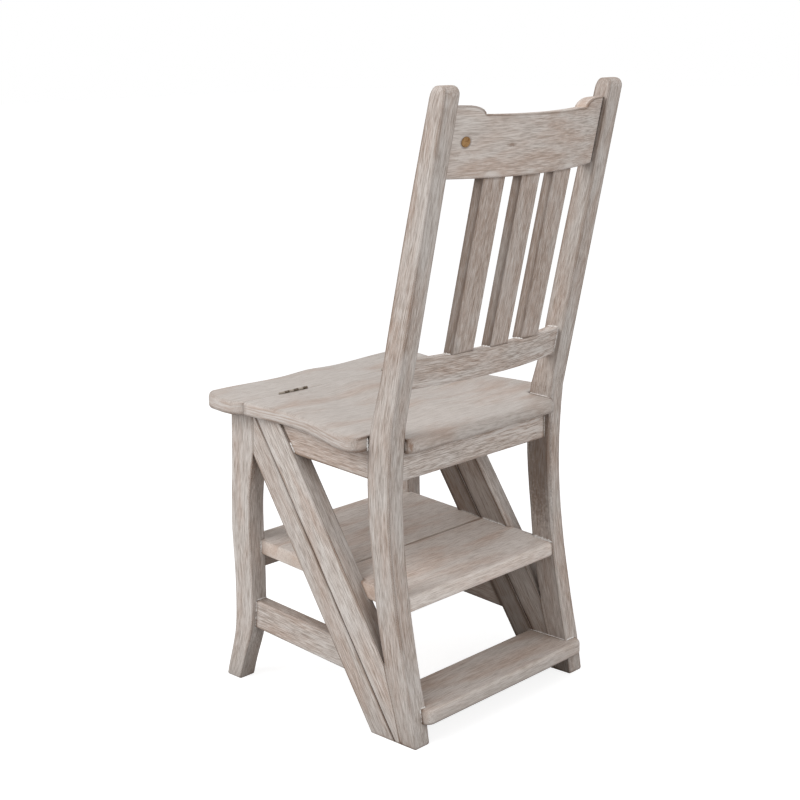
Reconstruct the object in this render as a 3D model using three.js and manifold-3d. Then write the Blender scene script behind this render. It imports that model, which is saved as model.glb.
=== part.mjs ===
// A step chair of limed wood: a side chair whose back half turns over on two butt hinges into a short ladder.
// Millimetres, +Z up, front of the seat towards -Y, +X on the sitter's left. The model is drawn with y = 0 at the
// seat's front edge and then moved so that its origin is the bottom centre of its box.
import * as THREE from "three";
import { mergeVertices } from "three/addons/utils/BufferGeometryUtils.js";
import Module from "manifold-3d";

const wasm = await Module();
wasm.setup();

// Driving sizes of the whole chair
const height = 902;
const hingeDrop = 4;
const hingeHeight = height / 2 - hingeDrop;
const seatWidth = 447;
const sideOverhang = 30.5;
const frameWidth = seatWidth - 2 * sideOverhang;
const legThickness = 30;
const seatDepth = 369;
const seatThickness = 20;
const splitPlace = 82;
const backDepth = 460;
const fallShare = 0.069;
const treadFallShare = 0.076;
const backLeanShare = 0.2215;
const jointGap = 0.3;
const edgeRound = 2;

const outerFace = frameWidth / 2;
const innerFace = outerFace - legThickness;
const railEnd = innerFace - jointGap;
const overrun = 60;

// Seat
const axisAboveSeat = 0.4;
const splitGap = 0.15;
const seatTopEdgeRound = 5;
const seatBottomEdgeRound = 3;
const seatRearRound = 8;
const seatScoop = 6;
const seatCornerInset = 34;
const seatCornerRun = 32;
const seatWaistInset = 23.5;
const seatEarInset = 15.5;
const seatEarTurn = 17;
const seatRearCorner = 12;

// Back post and rear leg: depths front to rear, and the reach of the foot
const postFootDepth = 27;
const postTopDepth = 26;
const postTopRound = 14;
const footDepth = 395;
const seatLevelDepth = 352;

// Front leg
const frontLegPlace = 33;
const frontLegDepth = 35;
const frontLegHeadDepth = 48;
const frontFootPlace = 6;
const frontFootDepth = 30;

// Diagonals: both lie against one slanting plane, the seam where the chair parts
const seamFoot = 357;
const seamSetback = 4.5;
const seamGap = 1.2;
const diagonalRound = 0.8;
const baseDiagonalWidth = 45;
const upperDiagonalWidth = 50;

// Aprons and rails
const sideApronHeight = 42;
const rearApronHeight = 44;
const apronThickness = 20;
const apronRecess = 4;
const rearApronPlace = 345;
const stretcherHeight = 44;
const stretcherThickness = 22;
const stretcherRecess = 8;
const stretcherTop = 132;
const treadRailHeight = 25;
const treadRailThickness = 18;
const treadRailPlace = 61;

// Treads
const treadThickness = 22.8;
const treadFront = 41;
const treadHeight = 226.9;
const treadRear = 361;
const treadEar = 8;
const treadRound = 5;
const bottomTreadTop = 52;
const bottomTreadThickness = 22;
const bottomTreadFront = 316.5;
const bottomTreadRear = 404;
const bottomTreadEar = 16;
const bottomTreadShift = 5;
const bottomTreadCorner = 13;

// Back
const crestDrop = 26;
const crestHeight = 94;
const crestTop = height - crestDrop;
const crestBottom = crestTop - crestHeight;
const crestStep = 12.5;
const crestStepRun = 34;
const crestShoulderLength = 52.7;
const crestFlatHalf = railEnd - crestShoulderLength;
const crestSag = 4;
const crestTopSag = 2.4;
const crestBow = 23;
const crestRecess = 7;
const crestEndRound = 2;
const crestEndRun = 6;
const crestThickness = 22;
const lowerRailPlace = 90;
const lowerRailTop = hingeHeight + lowerRailPlace;
const lowerRailHeight = 41;
const lowerRailBow = 22;
const lowerRailRecess = 9;
const lowerRailThickness = 20;
const slatWidth = 40;
const leftSlatWidth = 45.7;
const slatThickness = 17;
const slatPitch = 76;
const slatRecess = 3.5;
const tenonLength = 10;
const tenonShoulder = 4;

// Plug and dowels
const plugRadius = 7;
const plugDepth = 8;
const plugProud = 0.4;
const plugInset = 26.1;
const plugPlace = railEnd - plugInset;
const plugDrop = 47;
const plugHeight = crestTop - plugDrop;
const dowelRadius = 4;
const dowelInPost = 14;
const dowelInRail = 20;
const dowelInset = 22;
const lowerDowelInset = 11;
const apronDowelInset = 12;

// Hinge
const hingeLeftPlace = 108;
const hingeRightPlace = 118;
const hingeLength = 57;
const knuckleCount = 6;
const knuckleGap = 0.3;
const barrelRadius = 2;
const pinRadius = 0.9;
const pinHeadRadius = 1.4;
const pinHeadLength = 1;
const leafThickness = 1.4;
const leafDepth = 18;
const leafTuck = 1.2;
const screwSpacing = 21;
const screwHeadRadius = 3.1;
const screwHeadDepth = 1.3;
const screwRadius = 1.5;
const screwLength = 16;
const screwSlot = 0.6;
const screwSlotDepth = 0.5;

// Smoothness of curves
const profileSteps = 32;
const roundSteps = 3;
const headSteps = 5;
const railSteps = 20;
const seatSteps = 24;
const holeSides = 12;

// Shapes of the sawn profiles, as shares of the named sizes
// Rear edge of the post from foot to seat: [share of the height, share of the way from seat-level to foot reach]
const postRearShares = [
  [0, 1],
  [0.056, 0.83],
  [0.111, 0.6],
  [0.167, 0.4],
  [0.222, 0.22],
  [0.278, 0.09],
  [0.333, 0.01],
  [0.389, 0],
  [0.444, 0.06],
  [0.49, 0.2],
];
// Depth of the post, front to rear: [share of the height, share of the foot's depth]
const postDepthShares = [
  [0, 1],
  [0.056, 1.19],
  [0.111, 1.36],
  [0.167, 1.44],
  [0.222, 1.42],
  [0.278, 1.37],
  [0.333, 1.41],
  [0.389, 1.48],
  [0.444, 1.51],
  [0.5, 1.43],
  [0.556, 1.26],
  [0.64, 1.25],
  [0.8, 1.17],
];
// Front edge of the front leg: [share of the hinge height, share of the way from foot to leg place]
const frontLegFrontShares = [
  [0, 0],
  [0.04, 0.18],
  [0.08, 0.38],
  [0.12, 0.58],
  [0.16, 0.76],
  [0.21, 0.89],
  [0.3, 0.95],
  [0.4, 0.93],
  [0.48, 0.85],
  [0.55, 0.8],
  [0.62, 0.84],
  [0.69, 0.9],
  [0.76, 0.97],
  [0.85, 1.03],
  [1, 1.1],
];
// Depth of the front leg: [share of the hinge height, share of the way from foot depth to head depth]
const frontLegDepthShares = [
  [0, 0],
  [0.08, 0.07],
  [0.16, 0.25],
  [0.24, 0.39],
  [0.36, 0.45],
  [0.48, 0.54],
  [0.55, 0.61],
  [0.62, 0.56],
  [0.68, 0.6],
  [0.75, 0.76],
  [0.8, 0.93],
  [0.85, 0.98],
  [1, 0.88],
];
// Half width of the seat: [share of the seat's depth, share of the way from the waist to the full half width]
const seatSideShares = [
  [0.087, 1],
  [0.165, 1],
  [0.194, 0.8],
  [0.222, 0.43],
  [0.253, 0.36],
  [0.292, 0.31],
  [0.35, 0.16],
  [0.41, 0.02],
  [0.486, 0],
  [0.545, 0.03],
  [0.623, 0.32],
  [0.68, 0.56],
  [0.76, 0.86],
  [0.82, 1],
];
// Saddle of the seat: reach of the hollow, its cheeks, the low ridge between them, and how it fades to the front,
// to the rear and to the hinges
const scoopReachShare = 0.86;
const scoopCheekShare = 0.35;
const scoopRidgeShare = 0.9;
const scoopRidgeWidthShare = 0.22;
const scoopFrontShare = 0.5;
const scoopFadeShare = 0.9;
const scoopSplitShare = 0.7;
const scoopSplitWidthShare = 0.09;
// How far the rolled edges of the seat draw in its sides and lift its underside, against the drop of its top
const rollInShare = 0.6;
const rollUpShare = 0.4;
// How the post's head is rounded to the front, to the rear and to the sides
const headFrontShare = 0.4;
const headRearShare = 0.85;
const headSideShare = 0.3;
// Tips of the hinge's small parts: the pin's head, the rim of a screw's head and its straight shank
const pinTipShare = 0.8;
const screwRimShare = 0.125;
const screwShankShare = 0.75;
// Slant of the seam: what it moves forward for what it rises
const seamSlopeShare =
  (seamFoot - splitPlace - seamSetback) / (hingeHeight - axisAboveSeat - seatThickness);
// What 45 degrees of a quarter round leaves of its radius
const roundMiddleShare = 1 - Math.SQRT1_2;

const limedWood = { color: 0xa89d94, roughness: 0.62, metalness: 0 };
const treadWood = { color: 0xb0a59b, roughness: 0.58, metalness: 0 };
const bareWood = { color: 0x8a6540, roughness: 0.7, metalness: 0 };
const brassMetal = { color: 0x8d7a55, roughness: 0.42, metalness: 1 };

const chair = new THREE.Group();

// Adds one solid to the chair as its own named mesh.
function addPiece(name, solid, finish) {
  const mesh = new THREE.Mesh(toGeometry(solid), new THREE.MeshStandardMaterial(finish));
  mesh.name = name;
  chair.add(mesh);
  return mesh;
}

// Turns a closed geometry into a solid.
function toSolid(geometry) {
  const bare = geometry.clone();
  bare.deleteAttribute("normal");
  bare.deleteAttribute("uv");
  const merged = mergeVertices(bare);
  const numProp = 3;
  const vertProperties = new Float32Array(merged.getAttribute("position").array);
  const triVerts = new Uint32Array(merged.index.array);
  return new wasm.Manifold(new wasm.Mesh({ numProp, vertProperties, triVerts }));
}

// Turns a solid back into a geometry with flat-shaded normals.
function toGeometry(solid) {
  const mesh = solid.getMesh();
  const geometry = new THREE.BufferGeometry();
  geometry.setAttribute("position", new THREE.BufferAttribute(new Float32Array(mesh.vertProperties), 3));
  geometry.setIndex(new THREE.BufferAttribute(new Uint32Array(mesh.triVerts), 1));
  const flat = geometry.toNonIndexed();
  flat.computeVertexNormals();
  return flat;
}

function cut(solid, ...tools) {
  return tools.reduce((body, tool) => body.subtract(tool), solid);
}

function join(solid, ...others) {
  return others.reduce((body, other) => body.add(other), solid);
}

function shifted(solid, x, y, z) {
  return solid.translate([x, y, z]);
}

// A piece grown by the joint gap to each side along X and Y, for cutting the seat of its neighbour.
function withGap(solid, gap = jointGap) {
  const alongX = join(shifted(solid, gap, 0, 0), shifted(solid, -gap, 0, 0));
  return join(alongX, shifted(alongX, 0, gap, 0), shifted(alongX, 0, -gap, 0));
}

// Mirror image on the other side of the chair.
function mirrored(solid) {
  return solid.mirror([1, 0, 0]);
}

// Looks a value up in a table of [place, value] rows by a smooth curve through them.
function alongTable(rows, place) {
  const last = rows.length - 1;
  let row = rows.findIndex(([start]) => start > place) - 1;
  if (row === -2) row = last - 1;
  row = Math.max(0, Math.min(row, last - 1));
  const before = rows[Math.max(row - 1, 0)];
  const after = rows[Math.min(row + 2, last)];
  const [from, to] = [rows[row], rows[row + 1]];
  const run = to[0] - from[0];
  const share = Math.min(Math.max((place - from[0]) / run, 0), 1);
  const leave = ((to[1] - before[1]) / (to[0] - before[0])) * run;
  const arrive = ((after[1] - from[1]) / (after[0] - from[0])) * run;
  const [square, cube] = [share ** 2, share ** 3];
  const fromWeight = 2 * cube - 3 * square + 1;
  return (
    fromWeight * from[1] +
    (1 - fromWeight) * to[1] +
    (cube - 2 * square + share) * leave +
    (cube - square) * arrive
  );
}

// A level that falls towards the rear from its place.
function fallen(level, from, place, share = fallShare) {
  return level - share * (place - from);
}

function seatTopAt(place) {
  return fallen(hingeHeight - axisAboveSeat, splitPlace, place);
}

function seatUnderAt(place) {
  return seatTopAt(place) - seatThickness;
}

function treadTopAt(place) {
  return fallen(treadHeight, treadFront, place, treadFallShare);
}

// The seam runs straight from the floor to just behind the split, at the seat's underside.
function seamAt(level) {
  return seamFoot - seamSlopeShare * level;
}

// Straight line of the back's rear face above the seat.
function backLineAt(level) {
  return backDepth - backLeanShare * (height - level);
}

function postRearAt(level) {
  const share = level / height;
  const lastCurved = postRearShares[postRearShares.length - 1][0];
  if (share >= lastCurved) return backLineAt(level);
  const lineShare = (backLineAt(lastCurved * height) - seatLevelDepth) / (footDepth - seatLevelDepth);
  const rows = [...postRearShares.slice(0, -1), [lastCurved, lineShare]];
  return seatLevelDepth + (footDepth - seatLevelDepth) * alongTable(rows, share);
}

function postDepthAt(level) {
  const rows = [...postDepthShares, [1, postTopDepth / postFootDepth]];
  return postFootDepth * alongTable(rows, level / height);
}

function postFrontAt(level) {
  return postRearAt(level) - postDepthAt(level);
}

// Points of a rectangle with rounded corners in the plane of two axes, anticlockwise.
function roundedRectangle(lowA, highA, lowB, highB, radius, steps = roundSteps) {
  const fit = Math.min(radius, (highA - lowA) / 2, (highB - lowB) / 2);
  const corners = [
    [highA - fit, lowB + fit],
    [highA - fit, highB - fit],
    [lowA + fit, highB - fit],
    [lowA + fit, lowB + fit],
  ];
  return corners.flatMap(([a, b], corner) =>
    Array.from({ length: steps + 1 }, (_, step) => {
      const turn = ((corner - 1 + step / steps) * Math.PI) / 2;
      return [a + fit * Math.cos(turn), b + fit * Math.sin(turn)];
    }),
  );
}

// Joins a row of like outlines into one closed solid, with flat ends.
function loft(rings) {
  const count = rings[0].length;
  const places = rings.flat();
  const faces = [];
  for (let ring = 0; ring + 1 < rings.length; ring++) {
    for (let point = 0; point < count; point++) {
      const next = (point + 1) % count;
      const [a, b] = [ring * count + point, ring * count + next];
      faces.push([a, b, b + count], [a, b + count, a + count]);
    }
  }
  for (const [ring, reverse] of [[0, true], [rings.length - 1, false]]) {
    for (const face of endFaces(rings[ring])) {
      const moved = face.map((corner) => corner + ring * count);
      faces.push(reverse ? moved.reverse() : moved);
    }
  }
  const volume = faces.reduce((sum, [a, b, c]) => {
    const cross = new THREE.Vector3().crossVectors(places[b], places[c]);
    return sum + places[a].dot(cross);
  }, 0);
  if (volume < 0) faces.forEach((face) => face.reverse());
  const geometry = new THREE.BufferGeometry().setFromPoints(places);
  geometry.setIndex(faces.flat());
  return toSolid(geometry);
}

// Triangles of a flat outline, wound the way the outline runs.
function endFaces(ring) {
  const normal = new THREE.Vector3();
  ring.forEach((point, index) => {
    const next = ring[(index + 1) % ring.length];
    normal.add(new THREE.Vector3().crossVectors(point, next));
  });
  const sizes = normal.toArray().map(Math.abs);
  const drop = sizes.indexOf(Math.max(...sizes));
  const flat = ring.map((point) => {
    const [a, b] = point.toArray().filter((_, axis) => axis !== drop);
    return new THREE.Vector2(a, b);
  });
  const clockwise = THREE.ShapeUtils.isClockWise(flat);
  const faces = THREE.ShapeUtils.triangulateShape(flat, []);
  return clockwise ? faces.map((face) => [...face].reverse()) : faces;
}

// A sweep straight up: at each level a rounded rectangle, front to rear and across.
function uprightPiece(levels, boundsAt, lowX, highX, radius = edgeRound) {
  const rings = levels.map((level) => {
    const [front, rear, trim = 0] = boundsAt(level);
    const outline = roundedRectangle(lowX + trim, highX - trim, front, rear, radius);
    return outline.map(([x, y]) => new THREE.Vector3(x, y, level));
  });
  return loft(rings);
}

// A board along X: at each station a rounded section given by its front, rear, bottom and top.
function crossBoard(stations, boundsAt, radius = edgeRound) {
  const rings = stations.map((x) => {
    const { front, rear, bottom, top, lean = 0 } = boundsAt(x);
    const outline = roundedRectangle(0, rear - front, bottom, top, radius);
    return outline.map(([depth, z]) => new THREE.Vector3(x, front + depth + lean * (z - bottom), z));
  });
  return loft(rings);
}

// A prism with an outline in the plane of Y and Z, between two places along X, its long edges softened.
function sidePanel(outline, lowX, highX, soften = edgeRound) {
  const shape = new THREE.Shape(outline.map(([y, z]) => new THREE.Vector2(y, z)));
  const geometry = new THREE.ExtrudeGeometry(shape, {
    depth: highX - lowX - 2 * soften,
    bevelEnabled: soften > 0,
    bevelThickness: soften,
    bevelSize: soften,
    bevelOffset: -soften,
    bevelSegments: 1,
  });
  geometry.applyMatrix4(new THREE.Matrix4().set(0, 0, 1, lowX + soften, 1, 0, 0, 0, 0, 1, 0, 0, 0, 0, 0, 1));
  return toSolid(geometry);
}

function block(lowX, highX, lowY, highY, lowZ, highZ) {
  const geometry = new THREE.BoxGeometry(highX - lowX, highY - lowY, highZ - lowZ);
  geometry.translate((lowX + highX) / 2, (lowY + highY) / 2, (lowZ + highZ) / 2);
  return toSolid(geometry);
}

// A solid of revolution from a profile of [radius, distance] rows, its axis along X, Y or Z.
function turned(rows, axis, sides = holeSides) {
  const geometry = new THREE.LatheGeometry(rows.map(([radius, along]) => new THREE.Vector2(radius, along)), sides);
  if (axis === "x") geometry.rotateZ(-Math.PI / 2);
  if (axis === "z") geometry.rotateX(Math.PI / 2);
  return toSolid(geometry);
}

function rod(radius, length, axis, sides = holeSides) {
  return turned([[0, 0], [radius, 0], [radius, length], [0, length]], axis, sides);
}

function stepsBetween(from, to, count) {
  return Array.from({ length: count + 1 }, (_, step) => from + ((to - from) * step) / count);
}

// Levels of an upright from its foot, with closer steps where the foot is eased and where the head is rounded.
function uprightLevels(top, headRound) {
  const body = stepsBetween(edgeRound, top - headRound, profileSteps);
  const turns = stepsBetween(0, Math.PI / 2, headSteps).slice(1);
  const head = turns.map((turn) => top - headRound + headRound * Math.sin(turn));
  return headRound > 0 ? [0, ...body, ...head] : [0, ...body];
}

// Rear legs run up past the seat and lean back as the posts, with rounded heads.
function backPost() {
  return uprightPiece(
    uprightLevels(height, postTopRound),
    (level) => {
      const rise = Math.max(0, level - (height - postTopRound)) / postTopRound;
      const pull = postTopRound * (1 - Math.sqrt(Math.max(0, 1 - rise ** 2)));
      const ease = Math.max(0, edgeRound - level) / 2;
      const front = postFrontAt(level) + headFrontShare * pull + ease;
      const rear = postRearAt(level) - headRearShare * pull - ease;
      return [front, rear, headSideShare * pull + ease];
    },
    innerFace,
    outerFace,
  );
}

function frontLegFrontAt(level) {
  const reach = frontLegPlace - frontFootPlace;
  return frontFootPlace + reach * alongTable(frontLegFrontShares, level / hingeHeight);
}

function frontLegDepthAt(level) {
  const gain = frontLegHeadDepth - frontFootDepth;
  return frontFootDepth + gain * alongTable(frontLegDepthShares, level / hingeHeight);
}

// The strip's underside falls towards the rear, so the leg is cut to it.
function frontLeg() {
  const leg = uprightPiece(
    uprightLevels(hingeHeight, 0),
    (level) => {
      const ease = Math.max(0, edgeRound - level) / 2;
      const front = frontLegFrontAt(level) + ease;
      return [front, front + frontLegDepthAt(level) - ease, ease];
    },
    innerFace,
    outerFace,
  );
  return cut(leg, aboveSeatUnder());
}

// Everything above the underside of the seat, for trimming what stands below it.
function aboveSeatUnder() {
  return aboveSurface((place) => seatUnderAt(place) - jointGap);
}

function aboveTreadUnder() {
  return aboveSurface((place) => treadTopAt(place) - treadThickness - jointGap);
}

// All that lies above a surface running from front to rear.
function aboveSurface(levelAt) {
  const [front, rear] = [-overrun, seatDepth + overrun];
  const outline = [
    [front, levelAt(front)],
    [rear, levelAt(rear)],
    [rear, height + overrun],
    [front, height + overrun],
  ];
  return sidePanel(outline, -frameWidth, frameWidth, 0);
}

// Front halves of the A-shaped sides: from under the seat's front down to the rear of the floor.
function baseDiagonal(leg) {
  const rearEdgeAt = (level) => seamAt(level) - seamGap / 2;
  const head = hingeHeight;
  const insideLeg = frontLegPlace + frontLegDepth / 2;
  const meetsLeg = (seamFoot - baseDiagonalWidth - insideLeg) / seamSlopeShare;
  const outline = [
    [seamAt(0) - baseDiagonalWidth, 0],
    [rearEdgeAt(0), 0],
    [rearEdgeAt(head), head],
    [insideLeg, head],
    [insideLeg, meetsLeg],
  ];
  const board = sidePanel(outline, innerFace, outerFace, diagonalRound);
  return cut(board, withGap(leg), aboveSeatUnder());
}

// Rear halves of the sides: from under the seat down into the rear leg.
function upperDiagonal(post) {
  const frontEdgeAt = (level) => seamAt(level) + seamGap / 2;
  const head = hingeHeight;
  const insidePost = footDepth - postFootDepth / 2;
  const meetsPost = (seamFoot + upperDiagonalWidth - insidePost) / seamSlopeShare;
  const outline = [
    [frontEdgeAt(0), 0],
    [insidePost, 0],
    [insidePost, meetsPost],
    [seamAt(head) + upperDiagonalWidth, head],
    [frontEdgeAt(head), head],
  ];
  const board = sidePanel(outline, innerFace, outerFace, diagonalRound);
  return cut(board, withGap(post), aboveSeatUnder());
}

// Rise of a quarter round at a share of its run.
function quarterRound(share) {
  return Math.sqrt(1 - (1 - Math.min(Math.max(share, 0), 1)) ** 2);
}

// The seat's ears end against the fronts of the posts.
function earEnd() {
  const under = seatUnderAt(seatDepth);
  const fronts = [under, under + seatThickness / 2, under + seatThickness].map(postFrontAt);
  return Math.min(...fronts) - jointGap;
}

// Half width of the seat at a place from its front edge, with a rounded corner at each end of its side.
function seatHalfAt(place) {
  const full = seatWidth / 2;
  if (place < seatCornerRun) {
    return full - seatCornerInset * (1 - quarterRound(place / seatCornerRun));
  }
  if (place > seatDepth - seatRearCorner) {
    return railEnd - seatRearCorner * (1 - quarterRound((seatDepth - place) / seatRearCorner));
  }
  const untilEnd = (earEnd() - place) / seatEarTurn;
  if (untilEnd < 1) {
    return full - seatEarInset * (1 - quarterRound(untilEnd));
  }
  return full - seatWaistInset * (1 - alongTable(seatSideShares, place / seatDepth));
}

// Depth of the saddle hollow: two shallow cheeks with a low ridge between, fading out to the edges.
function scoopAt(x, place, half) {
  const across = Math.min(Math.abs(x) / (half * scoopReachShare), 1);
  const bowl = Math.cos((across * Math.PI) / 2) ** 2 + scoopCheekShare * Math.sin(across * Math.PI);
  const ridge = scoopRidgeShare * Math.exp(-((x / (half * scoopRidgeWidthShare)) ** 2));
  const along = Math.sin(Math.PI * Math.min(place / (seatDepth * scoopFadeShare), 1));
  const window = scoopFrontShare * Math.min(1, (1 - place / seatDepth) * 2) + (1 - scoopFrontShare) * along;
  const fromSplit = (place - splitPlace) / (seatDepth * scoopSplitWidthShare);
  const beside = 1 - scoopSplitShare * Math.exp(-(fromSplit ** 2));
  return seatScoop * window * beside * Math.max(bowl - ridge, 0);
}

// One cross section of the seat, flat below, hollowed above, with eased edges.
function seatRing(place, drop = 0) {
  const half = seatHalfAt(place) - drop * rollInShare;
  const under = seatUnderAt(place) + drop * rollUpShare;
  const topAt = (x) => seatTopAt(place) - drop - scoopAt(x, place, half);
  const [small, large] = [seatBottomEdgeRound, seatTopEdgeRound];
  const side = [
    [half - small, under],
    [half - small * roundMiddleShare, under + small * roundMiddleShare],
    [half, under + small],
    [half, topAt(half) - large],
    [half - large * roundMiddleShare, topAt(half) - large * roundMiddleShare],
    [half - large, topAt(half - large)],
  ];
  const run = half - large;
  const across = stepsBetween(run, -run, seatSteps).slice(1, -1);
  const top = across.map((x) => [x, topAt(x)]);
  const otherSide = side.map(([x, z]) => [-x, z]).reverse();
  return [...side, ...top, ...otherSide].map(([x, z]) => new THREE.Vector3(x, place, z));
}

// Part of the seat between two places, its front or rear edge rolled over where it is an outer edge.
function seatPart(from, to, rollFront, rollRear) {
  const [roll, rearRoll] = [seatTopEdgeRound, seatRearRound];
  const [low, high] = [rollFront ? from + roll : from, rollRear ? to - rearRoll : to];
  const turns = stepsBetween(0, Math.PI / 2, roundSteps);
  const even = stepsBetween(low, high, Math.ceil((high - low) / (seatDepth / seatSteps)));
  const corner = turnSteps().map((share) => low + (seatCornerRun - low) * share);
  const ear = turnSteps().map((share) => earEnd() - seatEarTurn * share);
  const closer = [...(rollFront ? corner : []), ...ear].filter((place) => place > low && place < high);
  const places = [...even, ...closer].sort((a, b) => a - b);
  const apart = places.filter((place, index) => index === 0 || place - places[index - 1] > jointGap);
  const front = turns.slice(0, -1).map((turn) => {
    return seatRing(from + roll * (1 - Math.cos(turn)), roll * (1 - Math.sin(turn)));
  });
  const rear = turns.slice(1).map((turn) => {
    return seatRing(to - rearRoll * (1 - Math.sin(turn)), rearRoll * (1 - Math.cos(turn)));
  });
  const middle = apart.map((place) => seatRing(place));
  return loft([...(rollFront ? front : []), ...middle, ...(rollRear ? rear : [])]);
}

// Shares at which the run of a rounded corner is stepped, closest where it turns most.
function turnSteps() {
  return stepsBetween(0, Math.PI / 2, roundSteps * 2).map((turn) => 1 - Math.cos(turn));
}

// Recesses that one side of the split gives to the hinges: barrel groove, leaf bed and screw bores.
function hingeBeds(side) {
  return hingeCentres().flatMap((centre) => {
    const room = hingeLength + 2 * (pinHeadLength + 2 * jointGap);
    const barrelRoom = rod(barrelRadius + jointGap, room, "x");
    const groove = shifted(barrelRoom, centre - room / 2, splitPlace, hingeHeight);
    const deep = splitPlace + side * (splitGap + leafThickness + jointGap);
    const open = splitPlace - side * overrun;
    const bed = block(
      centre - hingeLength / 2 - jointGap,
      centre + hingeLength / 2 + jointGap,
      Math.min(open, deep),
      Math.max(open, deep),
      hingeHeight - leafDepth - jointGap,
      hingeHeight,
    );
    const bores = screwPlaces(centre).map(([x, z]) => {
      const bore = rod(screwRadius + jointGap, screwLength + jointGap, "y");
      return shifted(side > 0 ? bore : bore.mirror([0, 1, 0]), x, splitPlace + side * splitGap, z);
    });
    return [groove, bed, ...bores];
  });
}

// Middles of the two hinges, the sitter's left first.
function hingeCentres() {
  return [hingeLeftPlace, -hingeRightPlace];
}

function screwPlaces(centre) {
  const z = hingeHeight - leafDepth / 2 - barrelRadius / 2;
  return [-1, 0, 1].map((step) => [centre + step * screwSpacing, z]);
}

// A hinge leaf: plate against one split face, with its share of the knuckles, the pin's bore and countersinks.
function hingeLeaf(centre, side) {
  const face = splitPlace + side * splitGap;
  const back = face + side * leafThickness;
  const plate = block(
    centre - hingeLength / 2,
    centre + hingeLength / 2,
    Math.min(face, back),
    Math.max(face, back),
    hingeHeight - leafDepth,
    hingeHeight - leafTuck,
  );
  const run = hingeLength / knuckleCount;
  const knuckles = stepsBetween(0, knuckleCount - 1, knuckleCount - 1).map((index) => {
    const own = index % 2 === (side < 0 ? 0 : 1);
    const low = centre - hingeLength / 2 + index * run;
    return { own, low: index === 0 ? low : low + knuckleGap / 2, high: low + run };
  });
  const barrels = knuckles
    .filter(({ own }) => own)
    .map(({ low, high }) => {
      const end = high > centre + hingeLength / 2 - jointGap ? high : high - knuckleGap / 2;
      return shifted(rod(barrelRadius, end - low, "x"), low, splitPlace, hingeHeight);
    });
  const clearings = knuckles
    .filter(({ own }) => !own)
    .map(({ low, high }) => {
      const room = rod(barrelRadius + jointGap, high - low + knuckleGap, "x");
      return shifted(room, low - knuckleGap / 2, splitPlace, hingeHeight);
    });
  const bore = shifted(
    rod(pinRadius + jointGap, hingeLength + overrun, "x"),
    centre - (hingeLength + overrun) / 2,
    splitPlace,
    hingeHeight,
  );
  const sinks = screwPlaces(centre).map(([x, z]) => {
    const sink = turned(
      [
        [0, -jointGap],
        [screwHeadRadius + jointGap, -jointGap],
        [screwHeadRadius + jointGap, 0],
        [screwRadius + jointGap, screwHeadDepth + jointGap / 2],
        [screwRadius + jointGap, 2 * leafThickness],
        [0, 2 * leafThickness],
      ],
      "y",
    );
    return shifted(side > 0 ? sink : sink.mirror([0, 1, 0]), x, face, z);
  });
  return cut(join(cut(plate, ...clearings), ...barrels), bore, ...sinks);
}

// The pin with a low head at each end of the barrel.
function hingePin(centre) {
  const half = hingeLength / 2 + jointGap;
  const end = half + pinHeadLength;
  const rows = [
    [0, -end],
    [pinHeadRadius * pinTipShare, -end],
    [pinHeadRadius, -half - pinHeadLength / 2],
    [pinHeadRadius, -half],
    [pinRadius, -half],
    [pinRadius, half],
    [pinHeadRadius, half],
    [pinHeadRadius, half + pinHeadLength / 2],
    [pinHeadRadius * pinTipShare, end],
    [0, end],
  ];
  return shifted(turned(rows, "x"), centre, splitPlace, hingeHeight);
}

// A countersunk wood screw with one slot, its head flush with the leaf.
function hingeScrew(x, z, side) {
  const rows = [
    [0, 0],
    [screwHeadRadius, 0],
    [screwHeadRadius, screwHeadDepth * screwRimShare],
    [screwRadius, screwHeadDepth],
    [screwRadius, screwLength * screwShankShare],
    [0, screwLength],
  ];
  const slot = block(
    -screwHeadRadius * 2,
    screwHeadRadius * 2,
    -jointGap,
    screwSlotDepth,
    -screwSlot / 2,
    screwSlot / 2,
  );
  const screw = cut(turned(rows, "y"), slot);
  const sunk = splitPlace + side * (splitGap + jointGap / 3);
  return shifted(side > 0 ? screw : screw.mirror([0, 1, 0]), x, sunk, z);
}

// Bow of a back rail: most at the middle, none at the posts.
function bowAt(x, bow) {
  return bow * (1 - (x / innerFace) ** 2);
}

// Rear face of the crest at a place along it, its ends rolled forward beside the posts.
function crestRearAt(x, level) {
  const roll = crestEndRound * (1 - quarterRound((railEnd - Math.abs(x)) / crestEndRun));
  return backLineAt(level) - crestRecess + bowAt(x, crestBow) - roll;
}

// Upper edge of the crest: sagging a little in the middle and stepped up by a quarter round to each end.
function crestTopAt(x) {
  const sag = crestTopSag * Math.max(0, 1 - (x / crestFlatHalf) ** 2);
  const rise = quarterRound((Math.abs(x) - crestFlatHalf) / crestStepRun);
  return crestTop - crestStep - sag + crestStep * rise;
}

function crestBottomAt(x) {
  return crestBottom - crestSag * (1 - (x / innerFace) ** 2);
}

function crestRail() {
  const rounded = turnSteps().map((share) => crestFlatHalf + crestStepRun * share);
  const stepEnd = crestFlatHalf + crestStepRun;
  const even = stepsBetween(0, railEnd, railSteps / 2).filter((x) => x < crestFlatHalf || x > stepEnd);
  const rolled = turnSteps().map((share) => railEnd - crestEndRun * share);
  const half = [...even, ...rounded, ...rolled.slice(1)].sort((a, b) => a - b);
  const stations = [...half.slice(1).reverse().map((x) => -x), ...half];
  const board = crossBoard(stations, (x) => {
    const bottom = crestBottomAt(x);
    const front = backLineAt(bottom) - crestRecess + bowAt(x, crestBow) - crestThickness;
    return { front, rear: crestRearAt(x, bottom), bottom, top: crestTopAt(x), lean: backLeanShare };
  });
  return cut(board, ...slatTenons(jointGap), plugBore(jointGap, plugProud + jointGap));
}

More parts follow.
